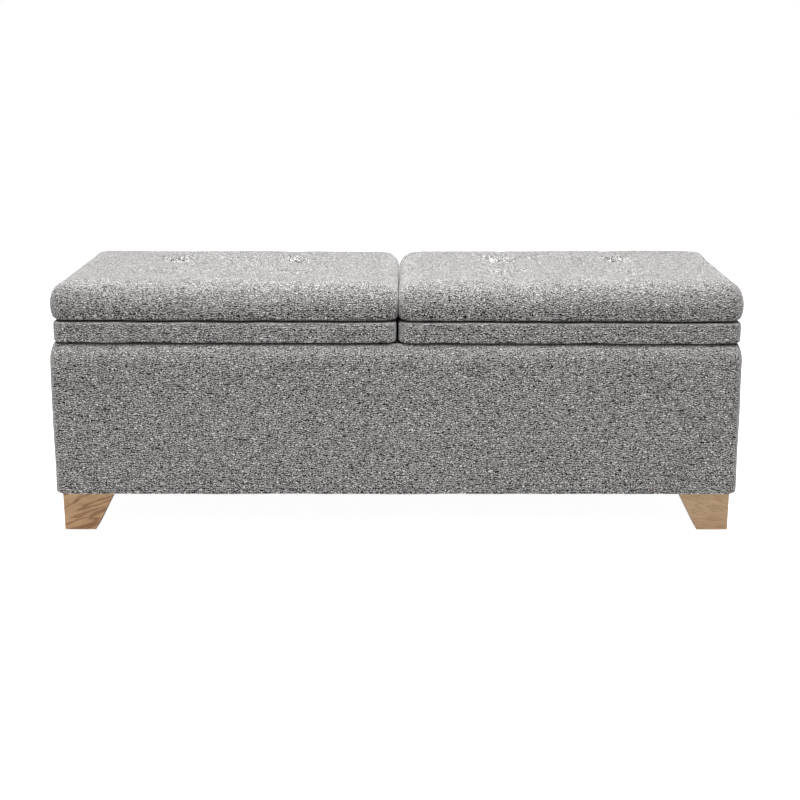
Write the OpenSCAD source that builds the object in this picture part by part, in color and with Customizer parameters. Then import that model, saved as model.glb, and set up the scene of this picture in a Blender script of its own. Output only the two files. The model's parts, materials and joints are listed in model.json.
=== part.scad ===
// Upholstered storage bench with two tufted lids, in millimetres.
// X runs along the bench, Y towards its back and Z up; the origin is on the floor under its middle.
// A padded box stands on four wedge legs. Each lid is a padded band with a tufted cushion on it, and it
// turns on two butt hinges at the back while two gas struts hold it.

/* [Box] */
// Length of the box over its cover
box_w = 1278; // [1150:1:1400]
// Depth of the box over its cover
box_d = 446; // [420:1:480]
// Height of the box, from its underside to its rim
box_h = 286; // [250:1:320]
// Thickness of the box's panels
panel_t = 15; // [12:1:18]
// Thickness of the padding between a panel and the cover
pad_t = 7; // [7:0.5:8]
// Radius of the box's upright corners
box_corner_r = 20; // [20:1:24]
// Radius of the box's padded edges
box_edge_r = 8; // [6:0.5:8]

/* [Legs] */
// Height of a leg with its glide
leg_h = 75; // [60:1:100]
// Length of a leg along the bench, at its top
leg_top_w = 96; // [80:1:110]
// Length of a leg along the bench, at its foot
leg_foot_w = 58; // [45:1:70]
// Thickness of a leg
leg_t = 48; // [40:1:60]
// How far a leg stands in from the box's end
leg_inset_x = 13; // [8:1:20]
// How far a leg stands in from the box's front or back
leg_inset_y = 12; // [8:1:20]

/* [Lids] */
// Gap between the box's rim and a lid
lid_gap = 2; // [2:0.1:2.4]
// Height of the padded band of a lid
band_h = 37; // [36:1:46]
// Height of the cushion, without its crown
cushion_h = 74; // [64:1:90]
// Radius of the cushion's top edges
cushion_edge_r = 28; // [20:1:32]
// Radius of the cushion's upright corners
cushion_corner_r = 34; // [34:1:44]
// Gap between the two cushions
cushion_split = 4; // [3:1:8]
// How far a band stands in from its cushion at the front, the back and the inner side
band_inset = 2.5; // [1:0.5:4]
// How much further the cushion reaches out over the band at the bench's end
end_overhang = 4; // [0:1:6]
// Half the distance between tufts along the bench
tuft_x = 120; // [90:1:150]
// Half the distance between tufts from front to back
tuft_y = 74; // [60:1:90]

/* [Hardware] */
// Length of a hinge along the bench
hinge_len = 64; // [50:1:80]
// Radius of a hinge's knuckles
knuckle_r = 3; // [2.8:0.1:3]
// Distance of each hinge from the middle of its lid
hinge_x = 200; // [150:5:240]
// Distance of a strut's foot in front of the hinge axis
strut_foot_y = 190; // [170:5:200]
// Distance of a strut's foot below the hinge axis
strut_foot_z = 150; // [140:5:160]
// Distance of a strut's head in front of the hinge axis, with the lid shut
strut_head_y = 54; // [50:1:58]
// How far a lid opens, in degrees
lid_open = 85; // [80:1:85]

/* [Hidden] */
$fn = 64;

// Sides of the bench, as the sign of X
LEFT = -1;
RIGHT = 1;

// Colours
cloth_grey = [0.55, 0.53, 0.52];
oak = [0.72, 0.56, 0.40];
pine = [0.85, 0.74, 0.55];
ply = [0.80, 0.68, 0.50];
foam_white = [0.93, 0.91, 0.86];
lining_black = [0.12, 0.12, 0.13];
zinc = [0.72, 0.73, 0.75];
strut_black = [0.10, 0.10, 0.11];
glide_grey = [0.35, 0.34, 0.33];

// Cloth and clearances
cloth_t = 1.5;    // thickness of the covers and linings
slack = 0.2;      // clearance round a screw or a bolt in its hole
running = 0.05;   // radial clearance of a pin, a rod or a piston in its bore
cut = 1;          // how far a cutting shape runs past the solid it cuts

// Heights
box_z = leg_h;
rim_z = box_z + box_h;
lid_z = rim_z + lid_gap;
seam_z = lid_z + band_h;
seat_z = seam_z + cushion_h;
wall_low_z = box_z + cloth_t;
wall_top_z = rim_z - cloth_t;
floor_z = box_z + cloth_t + panel_t;    // top of the bottom panel

// Box plan
frame_w = box_w - 2 * (cloth_t + pad_t);     // outside of the panels
frame_d = box_d - 2 * (cloth_t + pad_t);
frame_r = box_corner_r - cloth_t - pad_t;    // outer corners of the panels, rounded like the cover
bay_d = frame_d - 2 * panel_t;               // inside of the panels
bay_out_x = frame_w / 2 - panel_t;
bay_in_x = panel_t / 2;
bay_w = bay_out_x - bay_in_x;
bay_x = (bay_out_x + bay_in_x) / 2;

panel_screw_r = 2.5;
panel_screw_head_r = 4.5;
panel_screw_len = 45;

// Hinges
leaf_t = 1.4;
leaf_w = 17.3;
leaf_let_in = 0.5;
pin_r = 1.25;
knuckles = 5;
knuckle_gap = 0.3;
hinge_z = rim_z + lid_gap / 2;
hinge_y = box_d / 2 - knuckle_r;
hinge_screw_y = hinge_y - 15;
hinge_screw_pitch = 22;
screw_r = 1.8;
screw_head_r = 3.4;
screw_len = 18;

// Lid plan. The cushion stands a little proud of the band and stops short of the hinge axis
cushion_w = (box_w - 8 - cushion_split) / 2;
cushion_d = box_d - 5;
lid_x = cushion_split / 2 + cushion_w / 2;
seat_x = lid_x + end_overhang / 2;    // middle of the cushion, which reaches further out than the band
lid_y = -0.5;
band_w = cushion_w - 2 * band_inset;
band_d = cushion_d - 2 * band_inset;
band_corner_r = 20;
band_pad_t = 6;
band_edge_r = band_pad_t + cloth_t - 0.5;    // the rails' edges stay clear of the cover's rounding
band_top_r = 3;
cushion_low_r = 6.5;
rail_w = 30;
deck_t = 9;
deck_z = seam_z - deck_t;
rail_z = lid_z + cloth_t;
lid_frame_w = band_w - 2 * (cloth_t + band_pad_t);
lid_frame_d = band_d - 2 * (cloth_t + band_pad_t);
lid_frame_r = band_corner_r - cloth_t - band_pad_t;

// Tufts
button_r = 10.5;
button_t = 5;
button_z = seat_z - 16;
tuft_well_r = 12;
twine_r = 0.8;
washer_r = 9;
washer_t = 1.5;

// Bumpers
bumper_r = 4;
bumper_y = -bay_d / 2 - panel_t / 2;
bumper_in_x = 30;
bumper_out_x = 600;

// Legs and their fixings
glide_r = 12;
glide_t = 3;
leg_lean = 1;
leg_bolt_r = 4;
leg_bolt_pitch = 46;
leg_bolt_depth = 35;
tee_r = 5.2;
tee_flange_r = 11;
tee_flange_t = 1.5;
leg_out_x = box_w / 2 - leg_inset_x;
leg_y = box_d / 2 - leg_inset_y - leg_t / 2;
leg_bolt_x = leg_out_x - leg_top_w / 2;

// Gas struts. Places in the plane of a strut are [y, z] from the hinge axis, with the lid shut
strut_head_z = 15.5;
strut_foot = [-strut_foot_y, -strut_foot_z];
strut_head = [-strut_head_y, -strut_head_z];
strut_len = norm(strut_head - strut_foot);
strut_tilt = atan2(strut_head[1] - strut_foot[1], strut_head[0] - strut_foot[0]);
strut_wall_gap = 12;      // from the bay's lining to the middle of a strut
strut_out_x = bay_out_x - cloth_t - strut_wall_gap;
strut_in_x = bay_in_x + cloth_t + strut_wall_gap;
ball_r = 5;
ball_play = 0.3;
stud_r = 3;
stud_hole_r = 4;
socket_r = 7.5;
socket_open = 4.5;        // from the middle of the ball to the socket's open end
socket_closed = 6.5;      // and to its closed end
neck_r = 4;
neck_len = 20;
tube_r = 7.5;
tube_bore_r = 6.3;
tube_len = 145;
tube_cap = 10;            // length of the guide at the tube's open end
rod_r = 3;
rod_visible = strut_len - 2 * neck_len - tube_len;
rod_len = rod_visible + 100;
piston_t = 8;
bracket_t = 2;
bracket_w = 30;
bracket_screw_pitch = 18;
foot_bracket_h = 44;
lid_bracket_reach = 19;
lid_bracket_drop = 25;
lid_bracket_gap = 0.6;    // from the lining to the hanging flange of a lid bracket

// ---- Shapes that repeat ----

// Quarter of a disc, with its square corner at the origin
module quarter(r) {
    intersection() {
        circle(r = r);
        square(r);
    }
}

// Section of a wall from x = 0 to x1 and from z0 to z1, with its two outer edges rounded
module edge_section(x1, z0, z1, top_r, low_r) {
    translate([0, z0 + low_r]) square([x1, z1 - z0 - top_r - low_r]);
    translate([0, z1 - top_r]) square([x1 - top_r, top_r]);
    translate([0, z0]) square([x1 - low_r, low_r]);
    translate([x1 - top_r, z1 - top_r]) quarter(top_r);
    translate([x1 - low_r, z0 + low_r]) mirror([0, 1]) quarter(low_r);
}

// Sweeps a section round a rectangle with rounded corners. x = r in the section is the outer face.
// Side and corner 0 are at +X and +X+Y, and the rest follow anticlockwise
module around(w, d, r, sides = [0:3], corners = [0:3]) {
    for (turn = sides) {
        across = turn % 2 == 0 ? w : d;
        along = turn % 2 == 0 ? d : w;
        rotate(90 * turn) translate([across / 2 - r, 0, 0])
            rotate([90, 0, 0]) linear_extrude(along - 2 * r, center = true) children();
    }
    for (turn = corners) {
        across = turn % 2 == 0 ? w : d;
        along = turn % 2 == 0 ? d : w;
        rotate(90 * turn) translate([across / 2 - r, along / 2 - r, 0])
            rotate_extrude(angle = 90) children();
    }
}

// Slab with rounded upright corners and rounded top and bottom edges
module soft_slab(w, d, r, z0, z1, top_r, low_r) {
    around(w, d, r) edge_section(r, z0, z1, top_r, low_r);
    block(w - 2 * r, d - 2 * r, z0, z1);
}

// Box centred in plan, from z0 to z1
module block(w, d, z0, z1) {
    translate([-w / 2, -d / 2, z0]) cube([w, d, z1 - z0]);
}

// Board centred in plan, with rounded upright corners
module board(w, d, r, z0, z1) {
    block(w - 2 * r, d, z0, z1);
    block(w, d - 2 * r, z0, z1);
    for (sx = [-1, 1], sy = [-1, 1])
        translate([sx * (w / 2 - r), sy * (d / 2 - r), z0]) cylinder(r = r, h = z1 - z0);
}

// Cylinder along X, centred on its own length
module x_rod(r, len) {
    rotate([0, 90, 0]) cylinder(r = r, h = len, center = true);
}

// Countersunk wood screw pointing along +Z, with the top of its head at z = 0
module wood_screw(r, head_r, len) {
    cylinder(r1 = head_r, r2 = r, h = head_r - r);
    cylinder(r = r, h = len);
}

// What a wood screw needs cut away
module screw_hole(r, head_r, len) {
    wood_screw(r + slack, head_r + slack, len + slack);
    translate([0, 0, -cut]) cylinder(r = head_r + slack, h = cut);
}

// ---- Places that repeat ----

// The four legs: +1 or -1 along X and Y
module at_each_leg() {
    for (sx = [LEFT, RIGHT], sy = [-1, 1]) translate([sx * leg_bolt_x, sy * leg_y, 0]) children();
}

module at_leg_bolts() {
    at_each_leg() for (s = [-1, 1]) translate([s * leg_bolt_pitch / 2, 0, 0]) children();
}

// The screws through the front and the back: three into each end and the divider, four into the bottom
module at_panel_screws() {
    for (x = [-1, 0, 1] * (bay_out_x + panel_t / 2), sy = [-1, 1], k = [1:3])
        translate([x, sy * frame_d / 2, wall_low_z + k * (wall_top_z - wall_low_z) / 4])
            rotate([sy * 90, 0, 0]) children();
    for (k = [-3:2:3], sy = [-1, 1])
        translate([k * bay_w / 4, sy * frame_d / 2, floor_z - panel_t / 2]) rotate([sy * 90, 0, 0]) children();
}

// The two hinges of a lid
module at_hinges(side) {
    for (s = [-1, 1]) translate([side * lid_x + s * hinge_x, hinge_y, hinge_z]) children();
}

// The three screw places of each hinge leaf of a lid, at the height z
module at_hinge_screws(side, z) {
    for (s = [-1, 1], k = [-1, 0, 1])
        translate([side * lid_x + s * hinge_x + k * hinge_screw_pitch, hinge_screw_y, z]) children();
}

// The two struts of a lid. Children are drawn with +X pointing away from the strut's wall
module at_struts(side) {
    translate([side * strut_out_x, hinge_y, hinge_z]) mirror([side == RIGHT ? 1 : 0, 0, 0]) children();
    translate([side * strut_in_x, hinge_y, hinge_z]) mirror([side == RIGHT ? 0 : 1, 0, 0]) children();
}

// Along a strut: +Z runs from the foot's ball to the head's
module along_strut() {
    translate([0, strut_foot[0], strut_foot[1]]) rotate([strut_tilt - 90, 0, 0]) children();
}

// The four tufts of a lid
module at_tufts(side) {
    for (sx = [-1, 1], sy = [-1, 1])
        translate([side * lid_x + sx * tuft_x, lid_y + sy * tuft_y, 0]) children();
}

// ---- Box ----

module long_panel(sy) {
    color(ply) difference() {
        intersection() {
            translate([-frame_w / 2, sy > 0 ? frame_d / 2 - panel_t : -frame_d / 2, wall_low_z])
                cube([frame_w, panel_t, wall_top_z - wall_low_z]);
            board(frame_w, frame_d, frame_r, wall_low_z - cut, wall_top_z + cut);
        }
        at_panel_screws() screw_hole(panel_screw_r, panel_screw_head_r, panel_screw_len);
        if (sy > 0) for (side = [LEFT, RIGHT])
            at_hinge_screws(side, hinge_z) mirror([0, 0, 1]) screw_hole(screw_r, screw_head_r, screw_len);
    }
}

module end_panel(side) {
    color(ply) difference() {
        translate([side > 0 ? bay_out_x : -bay_out_x - panel_t, -bay_d / 2, wall_low_z])
            cube([panel_t, bay_d, wall_top_z - wall_low_z]);
        at_panel_screws() screw_hole(panel_screw_r, panel_screw_head_r, panel_screw_len);
        strut_foot_screws(slack);
    }
}

module centre_divider() {
    color(ply) difference() {
        translate([-panel_t / 2, -bay_d / 2, floor_z]) cube([panel_t, bay_d, wall_top_z - floor_z]);
        at_panel_screws() screw_hole(panel_screw_r, panel_screw_head_r, panel_screw_len);
        strut_foot_screws(slack);
    }
}

module bottom_panel() {
    color(ply) difference() {
        block(2 * bay_out_x, bay_d, floor_z - panel_t, floor_z);
        at_leg_bolts() translate([0, 0, floor_z - panel_t - cut]) cylinder(r = tee_r + slack, h = panel_t + 2 * cut);
        at_leg_bolts() translate([0, 0, floor_z - tee_flange_t]) cylinder(r = tee_flange_r + slack, h = cut + tee_flange_t);
        at_panel_screws() screw_hole(panel_screw_r, panel_screw_head_r, panel_screw_len);
    }
}

module panel_screws() {
    color(zinc) at_panel_screws() wood_screw(panel_screw_r, panel_screw_head_r, panel_screw_len);
}

// Padding round the panels, cut to some of its sides and corners
module box_padding(sides, corners) {
    color(foam_white) difference() {
        around(box_w - 2 * cloth_t, box_d - 2 * cloth_t, box_corner_r - cloth_t, sides, corners)
            edge_section(box_corner_r - cloth_t, box_z + cloth_t, rim_z - cloth_t,
                box_edge_r - cloth_t, box_edge_r - cloth_t);
        board(frame_w, frame_d, frame_r, box_z, rim_z);
    }
}

// Cloth round the box. It turns in over the panels' top edges, and a little way under the bottom
module box_cover() {
    color(cloth_grey) difference() {
        union() {
            around(box_w, box_d, box_corner_r) difference() {
                edge_section(box_corner_r, box_z, rim_z, box_edge_r, box_edge_r);
                translate([-cut, 0]) edge_section(box_corner_r - cloth_t + cut, box_z + cloth_t, rim_z - cloth_t,
                    box_edge_r - cloth_t, box_edge_r - cloth_t);
            }
            difference() {
                block(box_w - 2 * box_corner_r, box_d - 2 * box_corner_r, wall_top_z, rim_z);
                block(2 * bay_out_x, bay_d, wall_top_z - cut, rim_z + cut);
            }
        }
        for (side = [LEFT, RIGHT]) {
            at_hinges(side) leaf_pocket(-1);
            at_hinge_screws(side, hinge_z) mirror([0, 0, 1]) screw_hole(screw_r, screw_head_r, screw_len);
        }
    }
}

// Thin cloth tub that lines one bay. It turns over its half of the divider's top edge
module bay_lining(side) {
    color(lining_black) difference() {
        union() {
            translate([side * bay_x, 0, 0]) block(bay_w, bay_d, floor_z, rim_z);
            translate([side * (bay_in_x + cut + slack) / 2, 0, 0])
                block(bay_in_x + cut - slack, bay_d, wall_top_z, rim_z);
        }
        translate([side * bay_x, 0, 0])
            block(bay_w - 2 * cloth_t, bay_d - 2 * cloth_t, floor_z + cloth_t, rim_z + cut);
        strut_foot_screws(slack);
    }
}

module dust_cover() {
    color(lining_black) difference() {
        block(box_w - 2 * box_corner_r - 1, box_d - 2 * box_corner_r - 1, box_z, box_z + cloth_t);
        at_leg_bolts() translate([0, 0, box_z - cut]) cylinder(r = tee_r + slack, h = 3 * cut + cloth_t);
    }
}

// Wedge leg: its outer side is nearly upright and its inner side slopes
module leg(sx, sy) {
    color(oak) difference() {
        translate([0, sy * leg_y + leg_t / 2, 0]) rotate([90, 0, 0]) linear_extrude(leg_t)
            polygon([
                [sx * leg_out_x, box_z],
                [sx * (leg_out_x - leg_lean), glide_t],
                [sx * (leg_out_x - leg_lean - leg_foot_w), glide_t],
                [sx * (leg_out_x - leg_top_w), box_z]
            ]);
        at_leg_bolts() translate([0, 0, box_z - leg_bolt_depth]) cylinder(r = leg_bolt_r + slack, h = leg_h);
    }
}

module leg_bolts() {
    color(zinc) at_leg_bolts() translate([0, 0, box_z - leg_bolt_depth + slack])
        cylinder(r = leg_bolt_r, h = floor_z - box_z + leg_bolt_depth - 2);
}

module leg_tee_nuts() {
    color(zinc) at_leg_bolts() difference() {
        union() {
            translate([0, 0, floor_z - tee_flange_t]) cylinder(r = tee_flange_r, h = tee_flange_t);
            translate([0, 0, floor_z - panel_t + 2]) cylinder(r = tee_r, h = panel_t - 2);
        }
        translate([0, 0, box_z]) cylinder(r = leg_bolt_r + slack / 2, h = panel_t + 2 * cut + cloth_t);
    }
}

module leg_glides() {
    color(glide_grey) for (sx = [LEFT, RIGHT], sy = [-1, 1])
        translate([sx * (leg_out_x - leg_lean - leg_foot_w / 2), sy * leg_y, 0]) cylinder(r = glide_r, h = glide_t);
}

// Rubber studs on the front rim that the shut lids rest on
module lid_bumpers() {
    color(glide_grey) for (x = [-bumper_out_x, -bumper_in_x, bumper_in_x, bumper_out_x])
        translate([x, bumper_y, rim_z]) cylinder(r = bumper_r, h = lid_gap - slack);
}

// ---- Hinges ----

// One leaf of a butt hinge. up is -1 for the box's leaf and +1 for the lid's, which has the even knuckles
module hinge_leaf(up) {
    step = hinge_len / knuckles;
    z0 = up > 0 ? slack / 2 : -slack / 2 - leaf_t;
    difference() {
        union() {
            translate([-hinge_len / 2, -leaf_w - knuckle_r, z0])
                cube([hinge_len, leaf_w - knuckle_gap, leaf_t]);
            for (k = [up > 0 ? 1 : 0 : 2 : knuckles - 1])
                translate([(k + 0.5) * step - hinge_len / 2, 0, 0]) {
                    x_rod(knuckle_r, step - knuckle_gap);
                    translate([-(step - knuckle_gap) / 2, -knuckle_r - knuckle_gap - cut, z0])
                        cube([step - knuckle_gap, knuckle_r + knuckle_gap + cut, leaf_t]);
                }
        }
        x_rod(pin_r + running, hinge_len + cut);
        for (k = [-1, 0, 1]) translate([k * hinge_screw_pitch, hinge_screw_y - hinge_y, 0])
            translate([0, 0, -leaf_t - slack]) cylinder(r = screw_head_r + slack, h = 2 * (leaf_t + slack));
    }
}

// Room for a leaf that is let into the cloth below it (up = -1) or above it (up = +1), and for its knuckles
module leaf_pocket(up) {
    x_rod(knuckle_r + slack, hinge_len + 2 * slack);
    reach = lid_gap / 2 + leaf_let_in;
    translate([-hinge_len / 2 - slack, -leaf_w - knuckle_r - slack, up > 0 ? 0 : -reach])
        cube([hinge_len + 2 * slack, leaf_w + 2 * knuckle_r, reach]);
}

module box_hinge_leaves() {
    color(zinc) for (side = [LEFT, RIGHT]) at_hinges(side) hinge_leaf(-1);
}

module hinge_pins() {
    color(zinc) for (side = [LEFT, RIGHT]) at_hinges(side) x_rod(pin_r, hinge_len - knuckle_gap);
}

module box_hinge_screws() {
    color(zinc) for (side = [LEFT, RIGHT])
        at_hinge_screws(side, hinge_z - slack / 2) mirror([0, 0, 1]) wood_screw(screw_r, screw_head_r, screw_len);
}

// ---- Gas struts ----

// Plate and ball stud that carry a strut's foot, screwed through the lining
module strut_foot_brackets() {
    color(zinc) for (side = [LEFT, RIGHT]) at_struts(side) {
        translate([-strut_wall_gap, strut_foot[0], strut_foot[1]]) {
            difference() {
                translate([0, -bracket_w / 2, -foot_bracket_h / 2]) cube([bracket_t, bracket_w, foot_bracket_h]);
                for (s = [-1, 1]) translate([0, 0, s * foot_bracket_h / 3]) x_rod(screw_head_r + slack, 3 * bracket_t);
            }
            translate([strut_wall_gap / 2, 0, 0]) x_rod(stud_r, strut_wall_gap);
            translate([strut_wall_gap, 0, 0]) sphere(r = ball_r);
        }
    }
}

// Screws of the foot brackets, or their holes when extra is their clearance
module strut_foot_screws(extra = 0) {
    color(zinc) for (side = [LEFT, RIGHT]) at_struts(side)
        for (s = [-1, 1])
            translate([-strut_wall_gap + bracket_t, strut_foot[0], strut_foot[1] + s * foot_bracket_h / 3])
                rotate([0, -90, 0]) {
                    translate([0, 0, -extra]) cylinder(r = screw_r + extra, h = bracket_t + 7 + 2 * extra);
                    cylinder(r = screw_head_r + extra, h = bracket_t);
                }
}

// Ball socket of a strut, open towards -X for its stud, with its neck along +Z
module ball_socket() {
    difference() {
        union() {
            translate([(socket_closed - socket_open) / 2, 0, 0]) x_rod(socket_r, socket_closed + socket_open);
            translate([0, 0, ball_r + 1]) cylinder(r = neck_r, h = neck_len - ball_r - 1);
        }
        sphere(r = ball_r + ball_play);
        translate([-socket_open, 0, 0]) x_rod(stud_hole_r, 2 * socket_open);
    }
}

module strut_tubes(side) {
    color(strut_black) at_struts(side) along_strut() {
        ball_socket();
        translate([0, 0, neck_len]) difference() {
            cylinder(r = tube_r, h = tube_len);
            translate([0, 0, tube_cap]) cylinder(r = tube_bore_r, h = tube_len - 2 * tube_cap);
            translate([0, 0, tube_cap]) cylinder(r = rod_r + running, h = tube_len);
        }
    }
}

// Rod, piston and head socket, with the ball stud that the socket holds
module strut_rods(side) {
    color(zinc) at_struts(side) along_strut() translate([0, 0, strut_len]) mirror([0, 0, 1]) {
        ball_socket();
        translate([0, 0, neck_len]) cylinder(r = rod_r, h = rod_len);
        translate([0, 0, neck_len + rod_len - piston_t]) cylinder(r = tube_bore_r - running, h = piston_t);
        sphere(r = ball_r);
        stud_len = strut_wall_gap - lid_bracket_gap - bracket_t - 0.3;
        translate([-stud_len / 2, 0, 0]) x_rod(stud_r, stud_len);
    }
}

// Angle under the lid. The head's stud ends just clear of its hanging flange
module lid_strut_brackets(side) {
    color(zinc) difference() {
        at_struts(side) translate([-strut_wall_gap + lid_bracket_gap, strut_head[0] - bracket_w / 2, 0]) {
            translate([0, 0, lid_gap / 2 - bracket_t]) cube([lid_bracket_reach, bracket_w, bracket_t]);
            translate([0, 0, lid_gap / 2 - lid_bracket_drop]) cube([bracket_t, bracket_w, lid_bracket_drop]);
        }
        lid_screw_holes(side);
    }
}

// Two screws for each lid bracket
module at_lid_bracket_screws(side) {
    at_struts(side) for (s = [-1, 1])
        translate([lid_bracket_reach - strut_wall_gap - 8, strut_head[0] + s * bracket_screw_pitch / 2,
            lid_gap / 2 - bracket_t])
            children();
}

// ---- Lids ----

// Everything that the lid's screws need cut away
module lid_screw_holes(side) {
    at_lid_bracket_screws(side) screw_hole(screw_r, screw_head_r, screw_len);
    at_hinge_screws(side, hinge_z + slack / 2) screw_hole(screw_r, screw_head_r, screw_len);
}

module lid_screws(side) {
    color(zinc) {
        at_lid_bracket_screws(side) wood_screw(screw_r, screw_head_r, screw_len);
        at_hinge_screws(side, hinge_z + slack / 2) wood_screw(screw_r, screw_head_r, screw_len);
    }
}

// Four rails: two along the lid and two between them
module lid_rails(side) {
    color(pine) difference() {
        translate([side * lid_x, lid_y, 0]) intersection() {
            for (s = [-1, 1]) {
                translate([0, s * (lid_frame_d - rail_w) / 2, 0]) block(lid_frame_w, rail_w, rail_z, deck_z);
                translate([s * (lid_frame_w - rail_w) / 2, 0, 0])
                    block(rail_w, lid_frame_d - 2 * rail_w - slack, rail_z, deck_z);
            }
            board(lid_frame_w, lid_frame_d, lid_frame_r, rail_z - cut, deck_z + cut);
        }
        lid_screw_holes(side);
    }
}

module lid_deck(side) {
    color(ply) difference() {
        translate([side * lid_x, lid_y, 0]) board(lid_frame_w, lid_frame_d, lid_frame_r, deck_z, seam_z);
        at_tufts(side) translate([0, 0, deck_z - cut]) cylinder(r = twine_r + slack, h = deck_t + 2 * cut);
    }
}

module lid_band_padding(side) {
    r = band_corner_r - cloth_t;
    color(foam_white) translate([side * lid_x, lid_y, 0]) difference() {
        around(band_w - 2 * cloth_t, band_d - 2 * cloth_t, r)
            edge_section(r, lid_z + cloth_t, seam_z, band_top_r, band_edge_r - cloth_t);
        board(lid_frame_w, lid_frame_d, lid_frame_r, lid_z, seam_z + cut);
    }
}

// Cloth of the band: it runs from the seam down the sides and turns in under the rails
module lid_band_cover(side) {
    r = band_corner_r;
    color(cloth_grey) difference() {
        translate([side * lid_x, lid_y, 0]) around(band_w, band_d, r) difference() {
            edge_section(r, lid_z, seam_z, band_top_r, band_edge_r);
            translate([-cut, 0]) edge_section(r - cloth_t + cut, lid_z + cloth_t, seam_z + band_top_r,
                band_top_r, band_edge_r - cloth_t);
        }
        at_hinges(side) leaf_pocket(1);
        lid_screw_holes(side);
    }
}

// Cloth-covered board that closes the lid from below
module lid_lining(side) {
    inset = 2 * (band_corner_r + slack);
    color(lining_black) difference() {
        translate([side * lid_x, lid_y, 0]) block(band_w - inset, band_d - inset, lid_z, lid_z + cloth_t);
        lid_screw_holes(side);
    }
}

module seat_foam(side) {
    color(foam_white) difference() {
        translate([side * seat_x, lid_y, 0])
            soft_slab(cushion_w + end_overhang - 2 * cloth_t, cushion_d - 2 * cloth_t, cushion_corner_r - cloth_t,
                seam_z, seat_z - cloth_t, cushion_edge_r - cloth_t, cushion_low_r - cloth_t);
        at_tufts(side) {
            translate([0, 0, button_z]) cylinder(r = tuft_well_r, h = cushion_h);
            translate([0, 0, seam_z - cut]) cylinder(r = twine_r + slack, h = cushion_h);
        }
    }
}

// Cloth over the foam, open where the foam stands on the deck
module seat_cover(side) {
    r = cushion_corner_r;
    w = cushion_w + end_overhang;
    low_r = cushion_low_r;
    color(cloth_grey) difference() {
        translate([side * seat_x, lid_y, 0]) difference() {
            soft_slab(w, cushion_d, r, seam_z, seat_z, cushion_edge_r, low_r);
            soft_slab(w - 2 * cloth_t, cushion_d - 2 * cloth_t, r - cloth_t,
                seam_z, seat_z - cloth_t, cushion_edge_r - cloth_t, low_r - cloth_t);
        }
        at_tufts(side) translate([0, 0, button_z]) cylinder(r = tuft_well_r, h = cushion_h);
    }
}

// Cloth-covered buttons, sunk into the foam
module seat_buttons(side) {
    color(cloth_grey) at_tufts(side) translate([0, 0, button_z]) intersection() {
        cylinder(r = button_r, h = button_t);
        translate([0, 0, button_t - 2 * button_r]) sphere(r = 2 * button_r);
    }
}

// Twine from each button down through the foam and the deck, to a washer
module tuft_twines(side) {
    color(foam_white) at_tufts(side) {
        translate([0, 0, deck_z - washer_t]) cylinder(r = twine_r, h = button_z - deck_z + washer_t);
        translate([0, 0, deck_z - washer_t]) cylinder(r = washer_r, h = washer_t);
    }
}

// ---- Nodes ----

long_panel(-1);  // front_panel
long_panel(1);  // back_panel
end_panel(LEFT);  // left_end_panel
end_panel(RIGHT);  // right_end_panel
centre_divider();
bottom_panel();
panel_screws();
box_padding([3], [2, 3]);  // front_padding
box_padding([1], [0, 1]);  // back_padding
box_padding([2], []);  // left_end_padding
box_padding([0], []);  // right_end_padding
box_cover();
bay_lining(LEFT);  // left_bay_lining
bay_lining(RIGHT);  // right_bay_lining
dust_cover();
leg(LEFT, -1);  // leg_front_left
leg(RIGHT, -1);  // leg_front_right
leg(LEFT, 1);  // leg_rear_left
leg(RIGHT, 1);  // leg_rear_right
leg_bolts();
leg_tee_nuts();
leg_glides();
lid_bumpers();
box_hinge_leaves();
hinge_pins();
box_hinge_screws();
strut_foot_brackets();
strut_foot_screws();
for (side = [LEFT, RIGHT]) {
    hand = side == LEFT ? "left_" : "right_";
    lid_rails(side);
    lid_deck(side);
    lid_band_padding(side);
    lid_band_cover(side);
    lid_lining(side);
    seat_foam(side);
    seat_cover(side);
    seat_buttons(side);
    tuft_twines(side);
    color(zinc) at_hinges(side) hinge_leaf(1);
    lid_screws(side);
    lid_strut_brackets(side);
    strut_tubes(side);
    strut_rods(side);
}
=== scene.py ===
import json
import math

import bmesh
import bpy
from mathutils import Matrix, Vector, noise


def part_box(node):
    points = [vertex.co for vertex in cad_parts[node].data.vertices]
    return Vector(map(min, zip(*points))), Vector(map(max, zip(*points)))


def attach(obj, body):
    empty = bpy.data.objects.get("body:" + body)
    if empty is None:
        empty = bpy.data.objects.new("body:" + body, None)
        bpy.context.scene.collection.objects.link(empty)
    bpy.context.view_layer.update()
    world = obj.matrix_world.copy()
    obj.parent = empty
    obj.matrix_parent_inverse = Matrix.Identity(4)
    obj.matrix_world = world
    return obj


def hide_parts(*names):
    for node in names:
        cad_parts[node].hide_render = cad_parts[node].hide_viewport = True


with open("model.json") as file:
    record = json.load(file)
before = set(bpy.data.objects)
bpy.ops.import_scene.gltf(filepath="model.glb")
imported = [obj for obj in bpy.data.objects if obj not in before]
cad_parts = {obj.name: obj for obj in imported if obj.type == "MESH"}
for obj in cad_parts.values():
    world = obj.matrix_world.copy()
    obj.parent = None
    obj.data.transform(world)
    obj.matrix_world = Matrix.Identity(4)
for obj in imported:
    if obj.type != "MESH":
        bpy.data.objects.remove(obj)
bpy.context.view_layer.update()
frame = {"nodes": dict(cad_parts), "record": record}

MM = 0.001
SIDES = ("left", "right")
SIGN = {"left": -1, "right": 1}
CLOTH = 1.5 * MM            # thickness of the covers


# ---------------------------------------------------------------- camera, light, floor

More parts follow.
